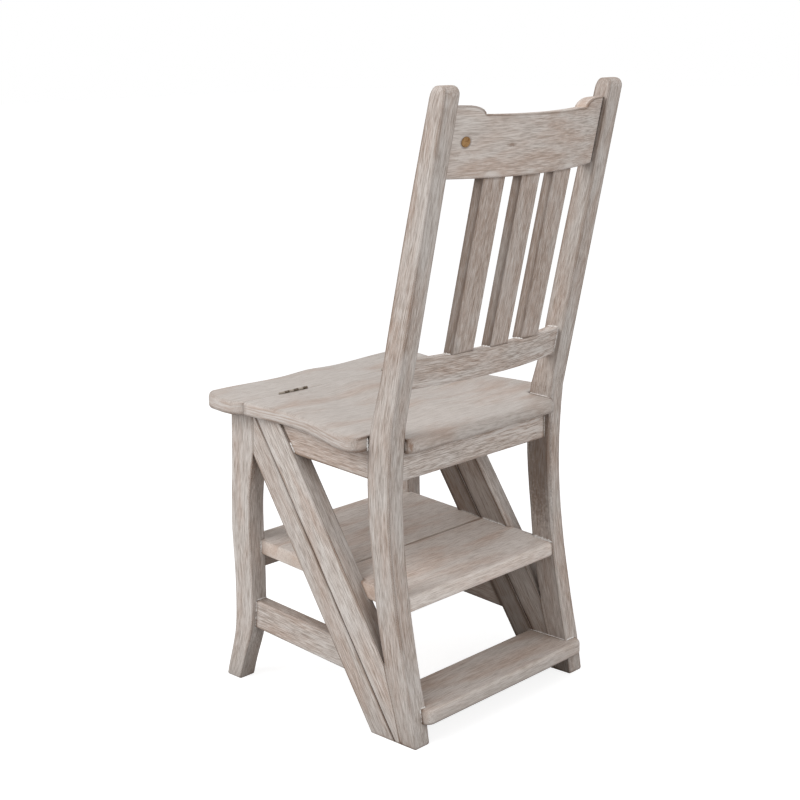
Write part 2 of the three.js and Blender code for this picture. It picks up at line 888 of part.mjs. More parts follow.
function lowerBackRail() {
  const board = crossBoard(stepsBetween(-railEnd, railEnd, railSteps), (x) => {
    const bottom = lowerRailTop - lowerRailHeight;
    const rear = backLineAt(bottom) - lowerRailRecess + bowAt(x, lowerRailBow);
    return { front: rear - lowerRailThickness, rear, bottom, top: lowerRailTop, lean: backLeanShare };
  });
  return cut(board, ...slatTenons(jointGap));
}

// Rear face of a slat at a level, carried in a straight line from the lower rail to the crest.
function slatRearAt(x, level) {
  const low = backLineAt(lowerRailTop) - lowerRailRecess + bowAt(x, lowerRailBow) - slatRecess;
  const high = crestRearAt(x, crestBottom) - slatRecess;
  return low + ((high - low) * (level - lowerRailTop)) / (crestBottom - lowerRailTop);
}

// Places and widths of the slats: the one on the sitter's left is wider, to the inside.
function slatShapes() {
  return [-1, 0, 1].map((step) => {
    const width = step > 0 ? leftSlatWidth : slatWidth;
    return [step * slatPitch - (step * (width - slatWidth)) / 2, width];
  });
}

function slatBlade([x, width], bottom, top, shoulder, grow, radius) {
  return uprightPiece(
    [bottom - grow, top + grow],
    (level) => {
      const rear = slatRearAt(x, level) - shoulder + grow;
      return [rear - slatThickness + 2 * shoulder - 2 * grow, rear];
    },
    x - width / 2 + shoulder - grow,
    x + width / 2 - shoulder + grow,
    radius,
  );
}

// Tenons of all slats, grown by a gap to cut their mortises.
function slatTenons(grow) {
  return slatShapes().map((shape) => {
    const [bottom, top] = [lowerRailTop - tenonLength, crestBottomAt(shape[0]) + tenonLength];
    return slatBlade(shape, bottom, top, tenonShoulder, grow, edgeRound / 2);
  });
}

function backSlat(shape) {
  const body = slatBlade(shape, lowerRailTop + jointGap, crestBottom + tenonLength, 0, 0, edgeRound);
  const [low, high] = [lowerRailTop - tenonLength, crestBottomAt(shape[0]) + tenonLength];
  const tenon = slatBlade(shape, low, high, tenonShoulder, 0, edgeRound / 2);
  const railRoom = crossBoard(stepsBetween(-railEnd, railEnd, railSteps), (place) => {
    return { front: 0, rear: height, bottom: crestBottomAt(place) - jointGap, top: height };
  });
  return join(cut(body, railRoom), tenon);
}

// The plug sits square to the rear face of the crest near one post.
function plugBore(grow, proud) {
  const outward = new THREE.Vector3((2 * crestBow * plugPlace) / innerFace ** 2, 1, -backLeanShare).normalize();
  const rear = crestRearAt(plugPlace, plugHeight);
  const start = new THREE.Vector3(plugPlace, rear, plugHeight).addScaledVector(outward, -plugDepth - grow);
  const turn = new THREE.Quaternion().setFromUnitVectors(new THREE.Vector3(0, 1, 0), outward);
  const matrix = new THREE.Matrix4().compose(start, turn, new THREE.Vector3(1, 1, 1));
  const plug = rod(plugRadius + grow, plugDepth + grow + proud, "y", holeSides * 2);
  return plug.transform(matrix.elements);
}

// Dowel from a post's inner face into the end of a rail, on the sitter's left.
function dowel(y, z, grow) {
  const length = dowelInPost + dowelInRail + 2 * grow;
  return shifted(rod(dowelRadius + grow, length, "x"), innerFace - dowelInRail - grow, y, z);
}

// Places of the dowels as [name, y, z].
function dowelPlaces() {
  const lowerBottom = lowerRailTop - lowerRailHeight;
  const levels = {
    crest_rail_dowel: [crestBottom + dowelInset, crestTop - dowelInset - crestStep],
    lower_back_rail_dowel: [lowerBottom + lowerDowelInset, lowerRailTop - lowerDowelInset],
    rear_apron_dowel: [
      seatUnderAt(rearApronPlace) - rearApronHeight + apronDowelInset,
      seatUnderAt(rearApronPlace) - apronDowelInset,
    ],
  };
  const middles = {
    crest_rail_dowel: (z) => backLineAt(z) - crestRecess - crestThickness / 2,
    lower_back_rail_dowel: (z) => backLineAt(z) - lowerRailRecess - lowerRailThickness / 2,
    rear_apron_dowel: () => rearApronPlace - apronThickness / 2,
  };
  return Object.entries(levels).flatMap(([name, [low, high]]) => [
    [`${name}_lower`, middles[name](low), low],
    [`${name}_upper`, middles[name](high), high],
  ]);
}

function dowelBores() {
  return dowelPlaces().map(([, y, z]) => dowel(y, z, jointGap));
}

// Board between the legs, square in section, following the fall of the seat.
function crossApron(rear, boardHeight) {
  const under = seatUnderAt(rear);
  return crossBoard([-railEnd, railEnd], () => ({
    front: rear - apronThickness,
    rear,
    bottom: under - boardHeight,
    top: under - jointGap,
  }));
}

// Board along one side from the upper diagonal to the post.
function sideApron(diagonal, post) {
  const front = seamAt(hingeHeight);
  const rear = seatDepth;
  const outline = [
    [front, seatUnderAt(front) - sideApronHeight],
    [rear, seatUnderAt(rear) - sideApronHeight],
    [rear, seatUnderAt(rear) - jointGap],
    [front, seatUnderAt(front) - jointGap],
  ];
  const [low, high] = [outerFace - apronRecess - apronThickness, outerFace - apronRecess];
  const board = sidePanel(outline, low, high, edgeRound / 2);
  const middleOfDiagonal = (level) => seamAt(level) + upperDiagonalWidth / 2;
  const aheadOutline = [
    [-overrun, 0],
    [middleOfDiagonal(0), 0],
    [middleOfDiagonal(hingeHeight), hingeHeight],
    [-overrun, hingeHeight],
  ];
  const ahead = sidePanel(aheadOutline, 0, frameWidth, 0);
  const insidePost = seatLevelDepth - postFootDepth / 2;
  const behind = block(0, frameWidth, insidePost, seatDepth + overrun, 0, height);
  return cut(board, withGap(diagonal), withGap(post), ahead, behind);
}

// Low board along one side from the front leg to the base diagonal.
function sideStretcher(leg, diagonal) {
  const start = frontLegPlace + frontLegDepth / 2;
  const topAt = (place) => fallen(stretcherTop, frontLegPlace + frontLegDepth, place);
  const end = seamAt(stretcherTop - stretcherHeight / 2) - baseDiagonalWidth / 2;
  const outline = [
    [start, topAt(start) - stretcherHeight],
    [end, topAt(end) - stretcherHeight],
    [end, topAt(end)],
    [start, topAt(start)],
  ];
  const high = outerFace - stretcherRecess;
  const board = sidePanel(outline, high - stretcherThickness, high);
  return cut(board, withGap(leg), withGap(diagonal));
}

// All that lies in front of the seam, or all that lies behind it, for parting what crosses it.
function seamWaste(side) {
  const edgeAt = (level) => seamAt(level) + (side * seamGap) / 2;
  const far = side > 0 ? -overrun : seatDepth + overrun;
  const outline = [
    [far, 0],
    [edgeAt(0), 0],
    [edgeAt(hingeHeight), hingeHeight],
    [far, hingeHeight],
  ];
  return sidePanel(side > 0 ? outline : outline.reverse(), -frameWidth, frameWidth, 0);
}

// Half of the middle tread, in front of the seam or behind it, notched round the sides.
function halfTread(side, neighbours) {
  const half = innerFace + treadEar;
  const flat = roundedRectangle(treadFront, treadRear, -treadThickness, 0, treadRound);
  const outline = flat.map(([place, depth]) => [place, treadTopAt(place) + depth]);
  const board = sidePanel(outline, -half, half);
  const insidePost = postRearAt(treadTopAt(treadRear)) - postFootDepth / 2;
  const earWaste = [-1, 1].map((hand) => {
    const [near, far] = [hand * railEnd, hand * frameWidth];
    return block(Math.min(near, far), Math.max(near, far), insidePost, seatDepth + overrun, 0, height);
  });
  return cut(board, seamWaste(side), ...earWaste, ...neighbours.map((solid) => withGap(solid)));
}

// The lowest tread: level, its rear edge lapped round behind the rear legs, set a little to the sitter's right.
function bottomTread(posts) {
  const [top, bottom] = [bottomTreadTop, bottomTreadTop - bottomTreadThickness];
  const half = innerFace + bottomTreadEar;
  const rounded = turnSteps().map((share) => half - bottomTreadCorner * share);
  const ends = [...rounded.map((x) => -x), ...rounded.reverse()];
  const board = crossBoard(
    ends.map((x) => x - bottomTreadShift),
    (x) => {
      const fromEnd = half - Math.abs(x + bottomTreadShift);
      const pull = bottomTreadCorner * (1 - quarterRound(fromEnd / bottomTreadCorner));
      return { front: bottomTreadFront, rear: bottomTreadRear - pull, bottom, top };
    },
    treadRound,
  );
  const lap = postRearAt(bottomTreadTop) + jointGap;
  const sideWaste = [-1, 1].map((hand) => {
    const [near, far] = [hand * railEnd, hand * frameWidth];
    return block(Math.min(near, far), Math.max(near, far), 0, lap, 0, height);
  });
  return cut(board, ...posts.map((post) => withGap(post)), ...sideWaste);
}

function treadRail() {
  const [front, rear] = [treadRailPlace - treadRailThickness, treadRailPlace];
  const bottom = treadTopAt(rear) - treadThickness - treadRailHeight;
  const rail = crossBoard([-railEnd, railEnd], () => ({ front, rear, bottom, top: treadHeight }));
  return cut(rail, aboveTreadUnder());
}

function seatStrip() {
  return cut(seatPart(0, splitPlace - splitGap, true, false), ...hingeBeds(-1));
}

// Main panel of the seat, notched round the posts and carried back between them.
function seatPanel(posts) {
  const waste = [-1, 1].map((hand) => {
    const [near, far] = [hand * railEnd, hand * frameWidth];
    return block(Math.min(near, far), Math.max(near, far), earEnd(), seatDepth + overrun, 0, height);
  });
  const panel = seatPart(splitPlace + splitGap, seatDepth, false, true);
  return cut(panel, ...hingeBeds(1), ...posts.map((post) => withGap(post)), ...waste);
}

// Both hands of a piece: the sitter's left as drawn, the right mirrored.
function addPair(name, solid, finish) {
  addPiece(`${name}_left`, solid, finish);
  addPiece(`${name}_right`, mirrored(solid), finish);
  return [solid, mirrored(solid)];
}

// Sides
const plainPost = backPost();
const leg = frontLeg();
const [upperLeft, baseLeft] = [upperDiagonal(plainPost), baseDiagonal(leg)];
const legs = addPair("front_leg", leg, limedWood);
const baseDiagonals = addPair("base_diagonal", baseLeft, limedWood);
addPair("side_stretcher", sideStretcher(leg, baseLeft), limedWood);
const posts = [plainPost, mirrored(plainPost)];
addPair("back_post", cut(plainPost, ...dowelBores()), limedWood);
const upperDiagonals = addPair("upper_diagonal", upperLeft, limedWood);
addPair("side_apron", sideApron(upperLeft, plainPost), limedWood);

// Seat and what joins the sides across
const bothBores = dowelBores().flatMap((bore) => [bore, mirrored(bore)]);
addPiece("front_seat_strip", seatStrip(), limedWood);
addPiece("seat_panel", seatPanel(posts), limedWood);
addPiece("front_apron", crossApron(frontLegPlace + 2 * apronRecess + apronThickness, sideApronHeight), limedWood);
addPiece("rear_apron", cut(crossApron(rearApronPlace, rearApronHeight), ...bothBores), limedWood);
addPiece("front_tread_rail", treadRail(), limedWood);
addPiece("middle_tread_front", halfTread(-1, [...legs, ...baseDiagonals]), treadWood);
addPiece("middle_tread_rear", halfTread(1, [...upperDiagonals, ...posts]), treadWood);
addPiece("bottom_tread", bottomTread(posts), treadWood);

// Back
addPiece("crest_rail", cut(crestRail(), ...bothBores), limedWood);
addPiece("lower_back_rail", cut(lowerBackRail(), ...bothBores), limedWood);
["right", "centre", "left"].forEach((hand, index) => {
  addPiece(`back_slat_${hand}`, backSlat(slatShapes()[index]), limedWood);
});
addPiece("crest_rail_plug", plugBore(0, plugProud), bareWood);
dowelPlaces().forEach(([name, y, z]) => addPair(name, dowel(y, z, 0), bareWood));

// Hinges
hingeCentres().forEach((centre, index) => {
  const hand = ["left", "right"][index];
  addPiece(`hinge_front_leaf_${hand}`, hingeLeaf(centre, -1), brassMetal);
  addPiece(`hinge_rear_leaf_${hand}`, hingeLeaf(centre, 1), brassMetal);
  addPiece(`hinge_pin_${hand}`, hingePin(centre), brassMetal);
  screwPlaces(centre).forEach(([x, z], screw) => {
    addPiece(`hinge_front_screw_${hand}_${screw + 1}`, hingeScrew(x, z, -1), brassMetal);
    addPiece(`hinge_rear_screw_${hand}_${screw + 1}`, hingeScrew(x, z, 1), brassMetal);
  });
});

// The origin goes to the bottom centre of the whole box.
const box = new THREE.Box3().setFromObject(chair);
chair.position.set(0, -(box.min.y + box.max.y) / 2, 0);

export default chair;
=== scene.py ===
"""Looks of the limed step chair: wood, brass, filler, floor, lights and camera. Lengths are in metres."""
import math

import bpy
import numpy as np
from mathutils import Matrix, Vector


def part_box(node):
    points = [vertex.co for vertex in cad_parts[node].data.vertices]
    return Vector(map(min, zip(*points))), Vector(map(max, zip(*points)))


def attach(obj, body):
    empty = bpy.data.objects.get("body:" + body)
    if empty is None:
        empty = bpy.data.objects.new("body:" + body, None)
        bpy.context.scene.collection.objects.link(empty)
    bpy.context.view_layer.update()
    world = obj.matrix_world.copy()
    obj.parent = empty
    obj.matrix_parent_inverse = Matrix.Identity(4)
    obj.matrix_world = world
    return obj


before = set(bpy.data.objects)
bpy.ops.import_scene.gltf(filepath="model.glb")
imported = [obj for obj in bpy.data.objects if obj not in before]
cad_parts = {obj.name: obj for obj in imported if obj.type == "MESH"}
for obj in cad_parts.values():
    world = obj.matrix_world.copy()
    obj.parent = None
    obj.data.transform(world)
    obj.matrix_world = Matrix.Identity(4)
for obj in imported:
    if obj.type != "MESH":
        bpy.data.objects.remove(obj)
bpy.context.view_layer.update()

MM = 0.001

# Front edge of the seat, from which the chair's places to the rear are counted
SEAT_FRONT = float(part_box("front_seat_strip")[0][1])

# Where the seat is parted, at its top
SEAT_SPLIT = SEAT_FRONT + 0.082

# Grain directions of the boards, front of the seat towards -Y
ACROSS = (1.0, 0.0, 0.0)
FRONT_TO_REAR = (0.0, 1.0, -0.069)
UPRIGHT = (0.0, 0.0, 1.0)
SLAT_LINE = (0.0, 0.21, 1.0)
DIAGONAL_LINE = (0.0, -0.634, 1.0)

# Curves of the boards as powers of a coordinate, highest first, taken out of Y so the grain follows them
POST_CURVE = ("Z", (4.1068, -9.2192, 6.3693, -1.0953, 0.1869, -0.2285, 0.0))
LEG_CURVE = ("Z", (-32.8743, 28.0792, -5.0191, -1.1716, 0.4133, 0.0))
BACK_LEAN = ("Z", (0.2215, 0.0))
CREST_BOW = ("X", (-0.866, 0.0, 0.0))
RAIL_BOW = ("X", (-0.828, 0.0, 0.0))


def display(red, green, blue):
    """Linear colour of a display colour given in 0 to 255."""
    shares = np.array((red, green, blue)) / 255.0
    low = shares / 12.92
    high = ((shares + 0.055) / 1.055) ** 2.4
    linear = np.where(shares <= 0.04045, low, high)
    return (float(linear[0]), float(linear[1]), float(linear[2]), 1.0)


# Tones of the limed wood, and of the painted shade on it
LIME_WHITE = display(230, 224, 219)
PASTE_WHITE = display(243, 240, 237)
PALE_GRAIN = display(208, 199, 192)
WARM_GRAIN = display(192, 170, 156)
TAUPE = display(162, 147, 136)
PORE = display(134, 115, 102)
WARM_ARRIS = display(166, 141, 123)
BROWN_LINE = display(118, 95, 79)
END_GRAIN = display(172, 147, 127)
# SHADE is painted shade: under the seat, in enclosed places and on faces turned away from the light
SHADE = display(104, 88, 77)
# CREVICE is painted shade in the wood's tight crevices, and dark patina in the brass's corners
CREVICE = display(54, 42, 35)
CHIP_BROWN = display(146, 112, 88)

# Tones of filler, bare wood and brass, the darker one first
PASTE_TONES = (display(208, 199, 191), PASTE_WHITE)
SKIN_TONES = (display(182, 167, 156), display(193, 182, 174))
DOWEL_TONES = (display(160, 124, 86), display(190, 154, 112))
PLUG_TONES = (display(126, 84, 42), display(178, 134, 82))
PLUG_LIGHT = display(196, 156, 104)
PLUG_RIM = display(84, 56, 34)
# Dark brass of the front leaf: its knuckles are dark as painted shade for the gaps between the light knuckles
DARK_BRASS_TONES = (display(96, 84, 72), display(124, 111, 96))
LIMED_BRASS_TONES = (display(170, 160, 146), display(190, 181, 170))

# The grain's slow wander: turns per metre along and across the grain, and its reach
WANDER_TURNS = (1.6, 6.0)
WANDER_REACH = 0.006

# Noise layers of the wood: turns per metre along and across the grain, detail, distortion, roughness
WOOD_LAYERS = {
    "cloud": ((7.0, 26.0), 2.5, 0.4, 0.55),
    "streak": ((16.0, 260.0), 3.0, 0.1, 0.6),
    "fine": ((32.0, 700.0), 2.0, 0.0, 0.55),
    "pores": ((60.0, 1450.0), 2.0, 0.0, 0.55),
    "patch": ((9.0, 26.0), 3.0, 0.5, 0.6),
}
EDGE_GRIT = ((24.0, 520.0), 3.0, 0.1, 0.6)
DOWEL_FIBRE = ((30.0, 900.0), 3.0)

# Tints of the grain: layer, its values at no share and at the full share, the full share, the tone
GRAIN_TINTS = (
    ("streak", 0.5, 0.34, 0.18, TAUPE),
    ("streak", 0.52, 0.7, 0.16, LIME_WHITE),
    ("fine", 0.5, 0.34, 0.42, PORE),
    ("fine", 0.5, 0.66, 0.42, LIME_WHITE),
    ("pores", 0.5, 0.38, 0.55, PORE),
    ("pores", 0.5, 0.62, 0.55, LIME_WHITE),
)

# Lengths of the short rays that find edges inside the wood, and corners and enclosed places outside it
BAND_RAYS = 0.008
CORNER_RAYS = 0.007
ENCLOSED_RAYS = 0.16

# Relief of the wood: shares of the pores and of the fine streaks, and depth; and how much the wood mirrors
PORES_IN_RELIEF = 0.4
FINE_IN_RELIEF = 0.6
WOOD_RELIEF = 0.0006
WOOD_SPECULAR = 0.35

# How much more painted shade a side face gets near its edges, and where the seat's top starts to count as away
# from its split
SIDE_SHADE_EDGE_GAIN = 1.7
SPLIT_NEAR = 0.008
SPLIT_FAR = 0.012

# Raggedness of the soft spots: size and detail of the noise, and its reach in half sizes of the spot
SPOT_NOISE = (260.0, 3.0)
SPOT_RAGGEDNESS = 1.6

# Soft spots as centre, half sizes, colour and share
CREST_SPOTS = (
    ((0.057, SEAT_FRONT + 0.456, 0.8208), (0.009, 0.02, 0.0032), display(140, 117, 101), 0.7),
    ((0.134, SEAT_FRONT + 0.443, 0.809), (0.018, 0.03, 0.010), LIME_WHITE, 0.35),
)
SEAT_SPOTS = (((0.160, SEAT_FRONT + 0.364, 0.419), (0.004, 0.008, 0.009), CHIP_BROWN, 0.8),)
TREAD_SPOTS = (
    ((0.171, SEAT_FRONT + 0.300, 0.196), (0.01, 0.012, 0.009), CHIP_BROWN, 0.4),
    ((0.171, SEAT_FRONT + 0.314, 0.196), (0.003, 0.0025, 0.004), PASTE_WHITE, 0.9),
)
POST_SPOTS = (((0.170, SEAT_FRONT + 0.380, 0.085), (0.008, 0.02, 0.018), LIME_WHITE, 0.4),)
# Painted shade on the far post's inner face under the seat
FAR_POST_SHADE_SPOTS = (((-0.163, SEAT_FRONT + 0.345, 0.33), (0.012, 0.06, 0.12), SHADE, 0.55),)

# Points of a curved face nearer than this are one, and edges under this angle are shaded smooth
DOUBLED_POINTS = 0.00002
SMOOTH_UNDER = math.radians(50.0)

# Side faces of posts and diagonals, and the top of the lower back rail, in millimetres
INNER_FACE = 163.0
OUTER_FACE = 193.0
RAIL_TOP = 537.0

# Filler at the slats' feet: places across, and the lower back rail's rear with its bow at the inner face
SLAT_PLACES = (-56.0, 20.0, 96.0)
RAIL_REAR = 390.9
RAIL_BOW_DEPTH = 22.0

# Corners with filler at the left of the rear part, in millimetres: start and end as place across, behind the
# seat's front and height, the directions along the two faces, and the width
REAR_CORNERS = (
    # Lower back rail and post: on the rail's top, and down its rear
    ((INNER_FACE, 369.5, RAIL_TOP), (INNER_FACE, 351.0, RAIL_TOP), (-1, 0, 0), (0, 0, 1), 1.7),
    ((INNER_FACE, 370.0, 536.5), (INNER_FACE, 361.5, 497.0), (-1, 0.26, 0), (0, 1, 0), 1.3),
    # Side apron and upper diagonal
    ((189.0, 166.0, 381.0), (189.0, 157.1, 395.0), (1, 0, 0), (0, 0.8446, 0.5355), 2.2),
    # Middle tread's rear half with the diagonal and with the post
    ((INNER_FACE, 224.0, 213.0), (INNER_FACE, 271.0, 209.4), (-1, 0, 0), (0, 0, 1), 2.2),
    ((INNER_FACE, 323.5, 205.4), (INNER_FACE, 361.0, 202.5), (-1, 0, 0), (0, 0, 1), 3.6),
    # Bottom tread's top and the post
    ((INNER_FACE, 318.0, 52.0), (INNER_FACE, 387.0, 52.0), (-1, 0, 0), (0, 0, 1), 1.2),
    # Rear apron and post, seat and post inside, seat and post outside
    ((INNER_FACE, 345.2, 366.0), (INNER_FACE, 345.2, 407.0), (-1, 0, 0), (0, 1, 0), 0.9),
    ((INNER_FACE, 318.0, 430.3), (INNER_FACE, 355.0, 427.8), (-1, 0, 0), (0, 0, 1), 0.9),
    ((OUTER_FACE, 314.6, 410.0), (OUTER_FACE, 314.6, 428.5), (1, 0, 0), (0, 1, 0), 2.2),
)

# Bottom tread, set off to the sitter's right: half width, offset, and its rear edge's place and height
TREAD_HALF_WIDTH = 179.0
TREAD_OFFSET = -5.0
TREAD_REAR_LOW = (389.3, 31.0)
TREAD_REAR_TOP = (387.6, 52.0)

# Corners with filler at the left of the front part
FRONT_CORNERS = (
    # Side stretcher and leg: up the corner, and on the stretcher's top
    ((185.0, 65.0, 90.5), (185.0, 69.1, 131.5), (1, 0, 0), (0, 1, 0), 2.5),
    ((185.0, 69.2, 132.0), (INNER_FACE, 69.2, 132.0), (0, 0, 1), (0, 1, 0), 1.9),
    # Middle tread's front half with the leg and with the diagonal
    ((171.0, 68.9, 205.0), (171.0, 68.3, 225.0), (1, 0, 0), (0, 1, 0), 2.3),
    ((INNER_FACE, 181.0, 216.2), (INNER_FACE, 220.0, 213.2), (-1, 0, 0), (0, 0, 1), 0.8),
)

# Flush joints under a skin of filler: heights, places behind the seat's front, and the skin's half width
POST_JOINT = ((4.0, 41.0, 82.0, 112.0), (368.5, 359.6, 347.8, 340.0))
POST_SKIN_WIDTH = 2.2
LEG_JOINT = ((366.0, 380.0, 400.0, 419.0), (81.0, 81.6, 81.7, 81.6))
LEG_SKIN_WIDTH = 1.8

# Steps along a bead, and how deep its root is sunk, in millimetres
BEAD_STEPS = 28
BEAD_SUNK = 0.4

# Steps along a skin, how proud it stands, in millimetres, and how many times deeper its root lies
SKIN_STEPS = 30
SKIN_PROUD = 0.1
SKIN_ROOT = 6.0

# Floor's half size, grey and glow to the camera, and the strength of the white world as a light
FLOOR_REACH = 30.0
FLOOR_GREY = (0.5, 0.5, 0.5, 1.0)
FLOOR_GLOW = 0.8
WHITE = (1.0, 1.0, 1.0, 1.0)
WORLD_LIGHT = 0.34

# Square lights as name, place, aim, width and power in watts
LIGHTS = (
    ("key", (2.6, -0.9, 2.2), (0.0, 0.0, 0.45), 2.2, 56.0),
    ("top", (0.3, 0.2, 3.0), (0.0, 0.0, 0.4), 2.4, 13.0),
    ("rear_fill", (0.6, 3.2, 1.6), (0.0, 0.0, 0.45), 2.2, 35.0),
)

# The photograph's camera: focal length and centre in pixels of the square picture, axes, and place
PICTURE_PIXELS = 800.0
FOCAL_PIXELS = 1505.079
CENTRE_PIXELS = (281.173, 318.415)
SENSOR_WIDTH = 36.0
CAMERA_RIGHT = (-0.72447, 0.68878, -0.02690)
CAMERA_UP = (-0.13687, -0.10550, 0.98495)
CAMERA_BACK = (0.67558, 0.71725, 0.17071)
CAMERA_PLACE = (1.640343, 1.686558 + SEAT_FRONT, 0.941831)


def new_material(name):
    """An empty node material with its output and a Principled shader."""
    made = bpy.data.materials.new(name)
    made.use_nodes = True
    tree = made.node_tree
    tree.nodes.clear()
    output = tree.nodes.new("ShaderNodeOutputMaterial")
    shader = tree.nodes.new("ShaderNodeBsdfPrincipled")
    tree.links.new(shader.outputs["BSDF"], output.inputs["Surface"])
    return made, tree, shader


def add(tree, kind, inputs=(), **settings):
    """Adds a shader node; inputs are (socket, value or output) pairs, settings its own properties."""
    made = tree.nodes.new("ShaderNode" + kind)
    for key, value in settings.items():
        setattr(made, key, value)
    for key, value in inputs:
        plug_in(tree, made.inputs[key], value)
    return made


def plug_in(tree, socket, value):
    """Sets a socket to a constant, or links an output to it."""
    if isinstance(value, bpy.types.NodeSocket):
        tree.links.new(value, socket)
    else:
        socket.default_value = value


def maths(tree, operation, first, second=0.0):
    """One arithmetic step between two values."""
    return add(tree, "Math", [(0, first), (1, second)], operation=operation).outputs[0]


def ramp(tree, value, low, high, to_low=0.0, to_high=1.0):
    """A smooth step from to_low to to_high while the value goes from low to high."""
    pairs = [
        ("Value", value),
        ("From Min", low),
        ("From Max", high),
        ("To Min", to_low),
        ("To Max", to_high),
    ]
    return add(tree, "MapRange", pairs, interpolation_type="SMOOTHSTEP").outputs["Result"]


def tint(tree, share, under, over, how="MIX"):
    """Lays one colour over another by a share."""
    made = add(tree, "Mix", data_type="RGBA", blend_type=how)
    plug_in(tree, made.inputs[0], share)
    plug_in(tree, made.inputs[6], under)
    plug_in(tree, made.inputs[7], over)
    return made.outputs[2]


def object_place(tree):
    """Object coordinates, which are the chair's own at rest and move with each piece."""
    return add(tree, "TexCoord").outputs["Object"]


def component(tree, vector, axis):
    """One component of a vector."""
    return add(tree, "SeparateXYZ", [("Vector", vector)]).outputs[axis]


def polynomial(tree, value, powers):
    """A polynomial of a value by Horner's rule, its factors highest power first."""
    total = powers[0]
    for factor in powers[1:]:
        total = maths(tree, "ADD", maths(tree, "MULTIPLY", total, value), factor)
    return total


def unbent_place(tree, curves):
    """Object coordinates with the curves of a board taken out of Y."""
    place = object_place(tree)
    if not curves:
        return place
    parts = add(tree, "SeparateXYZ", [("Vector", place)]).outputs
    level = parts["Y"]
    for source, powers in curves:
        level = maths(tree, "SUBTRACT", level, polynomial(tree, parts[source], powers))
    pairs = [("X", parts["X"]), ("Y", level), ("Z", parts["Z"])]
    return add(tree, "CombineXYZ", pairs).outputs["Vector"]


def scaled_space(tree, space, scale):
    """A space drawn out by a factor along each axis."""
    return add(tree, "Mapping", [("Vector", space), ("Scale", scale)]).outputs["Vector"]


def grain_space(tree, along, shift, curves=(), squeeze=(1.0, 1.0, 1.0)):
    """Coordinates turned so that X follows the grain, moved so that each board has its own figure."""
    turn = Vector(along).normalized().rotation_difference(Vector(ACROSS)).to_euler("XYZ")
    place = scaled_space(tree, unbent_place(tree, curves), squeeze)
    turned = add(tree, "Mapping", [("Vector", place), ("Rotation", turn), ("Location", shift)])
    return turned.outputs["Vector"]


def stretched_noise(tree, space, turns, detail, distortion=0.0, roughness=0.5):
    """Noise drawn out along the grain, by its turns per metre along and across."""
    long, wide = turns
    pairs = [
        ("Vector", scaled_space(tree, space, (long, wide, wide))),
        ("Scale", 1.0),
        ("Detail", detail),
        ("Distortion", distortion),
        ("Roughness", roughness),
    ]
    return add(tree, "TexNoise", pairs).outputs["Fac"]


def even_noise(tree, place, scale, detail):
    """Noise of the same size every way."""
    pairs = [("Vector", place), ("Scale", scale), ("Detail", detail)]
    return add(tree, "TexNoise", pairs).outputs["Fac"]


def wandering(tree, space, turns, reach):
    """The grain's slow wander: a low noise pushes the space to the side by up to the reach."""
    long, wide = turns
    drawn = scaled_space(tree, space, (long, wide, wide))
    noise = add(tree, "TexNoise", [("Vector", drawn), ("Scale", 1.0), ("Detail", 1.0)]).outputs["Color"]
    middle = (0.5, 0.5, 0.5)
    centred = add(tree, "VectorMath", [(0, noise), (1, middle)], operation="SUBTRACT").outputs[0]
    sideways = (0.0, reach, reach)
    push = add(tree, "VectorMath", [(0, centred), (1, sideways)], operation="MULTIPLY").outputs[0]
    return add(tree, "VectorMath", [(0, space), (1, push)], operation="ADD").outputs[0]


def occlusion(tree, distance, inside=False, samples=8):
    """Share of short rays that meet nothing: out of the wood, or inside it."""
    made = add(tree, "AmbientOcclusion", [("Distance", distance)], samples=samples, inside=inside)
    return made.outputs["AO"]


def roughen(tree, shader, height, strength, distance):
    """Fine relief on a shader from a height."""
    relief = add(tree, "Bump", [("Height", height), ("Strength", strength), ("Distance", distance)])
    plug_in(tree, shader.inputs["Normal"], relief.outputs["Normal"])


def spotted(tree, colour, spots):
    """Lays soft ragged spots over a colour; a spot is its centre, half sizes, colour and share."""
    place = object_place(tree)
    ragged = even_noise(tree, place, *SPOT_NOISE)
    for centre, sizes, paint, share in spots:
        offset = add(tree, "VectorMath", [(0, place), (1, centre)], operation="SUBTRACT").outputs[0]
        scaled = add(tree, "VectorMath", [(0, offset), (1, sizes)], operation="DIVIDE").outputs[0]
        far = add(tree, "VectorMath", [(0, scaled)], operation="LENGTH").outputs["Value"]
        wobble = maths(tree, "MULTIPLY", maths(tree, "SUBTRACT", ragged, 0.5), SPOT_RAGGEDNESS)
        far = maths(tree, "ADD", far, wobble)
        colour = tint(tree, ramp(tree, far, 1.1, 0.3, 0.0, share), colour, paint)
    return colour


def away_from_split(tree, normal):
    """Nil on the seat's top within a few millimetres of its split, else one."""
    place = component(tree, object_place(tree), "Y")
    apart = maths(tree, "ABSOLUTE", maths(tree, "SUBTRACT", place, SEAT_SPLIT))
    upward = component(tree, normal, "Z")
    beyond = ramp(tree, apart, SPLIT_NEAR, SPLIT_FAR)
    return maths(tree, "MAXIMUM", beyond, ramp(tree, upward, 0.8, 0.4))


def grain_tone(tree, layers, pale, contrast, brush):
    """The wood's own tone: clouds, streaks and pores along the grain, and lime brushed on in patches."""
    middle = 0.56 - 0.12 * pale
    colour = tint(tree, ramp(tree, layers["cloud"], middle - 0.16, middle + 0.16), WARM_GRAIN, PALE_GRAIN)
    for layer, none, full, share, tone in GRAIN_TINTS:
        colour = tint(tree, ramp(tree, layers[layer], none, full, 0.0, share * contrast), colour, tone)
    patches = ramp(tree, layers["patch"], 0.44, 0.62)
    strokes = ramp(tree, layers["streak"], 0.42, 0.58, 0.0, brush)
    return tint(tree, maths(tree, "MULTIPLY", patches, strokes), colour, LIME_WHITE)


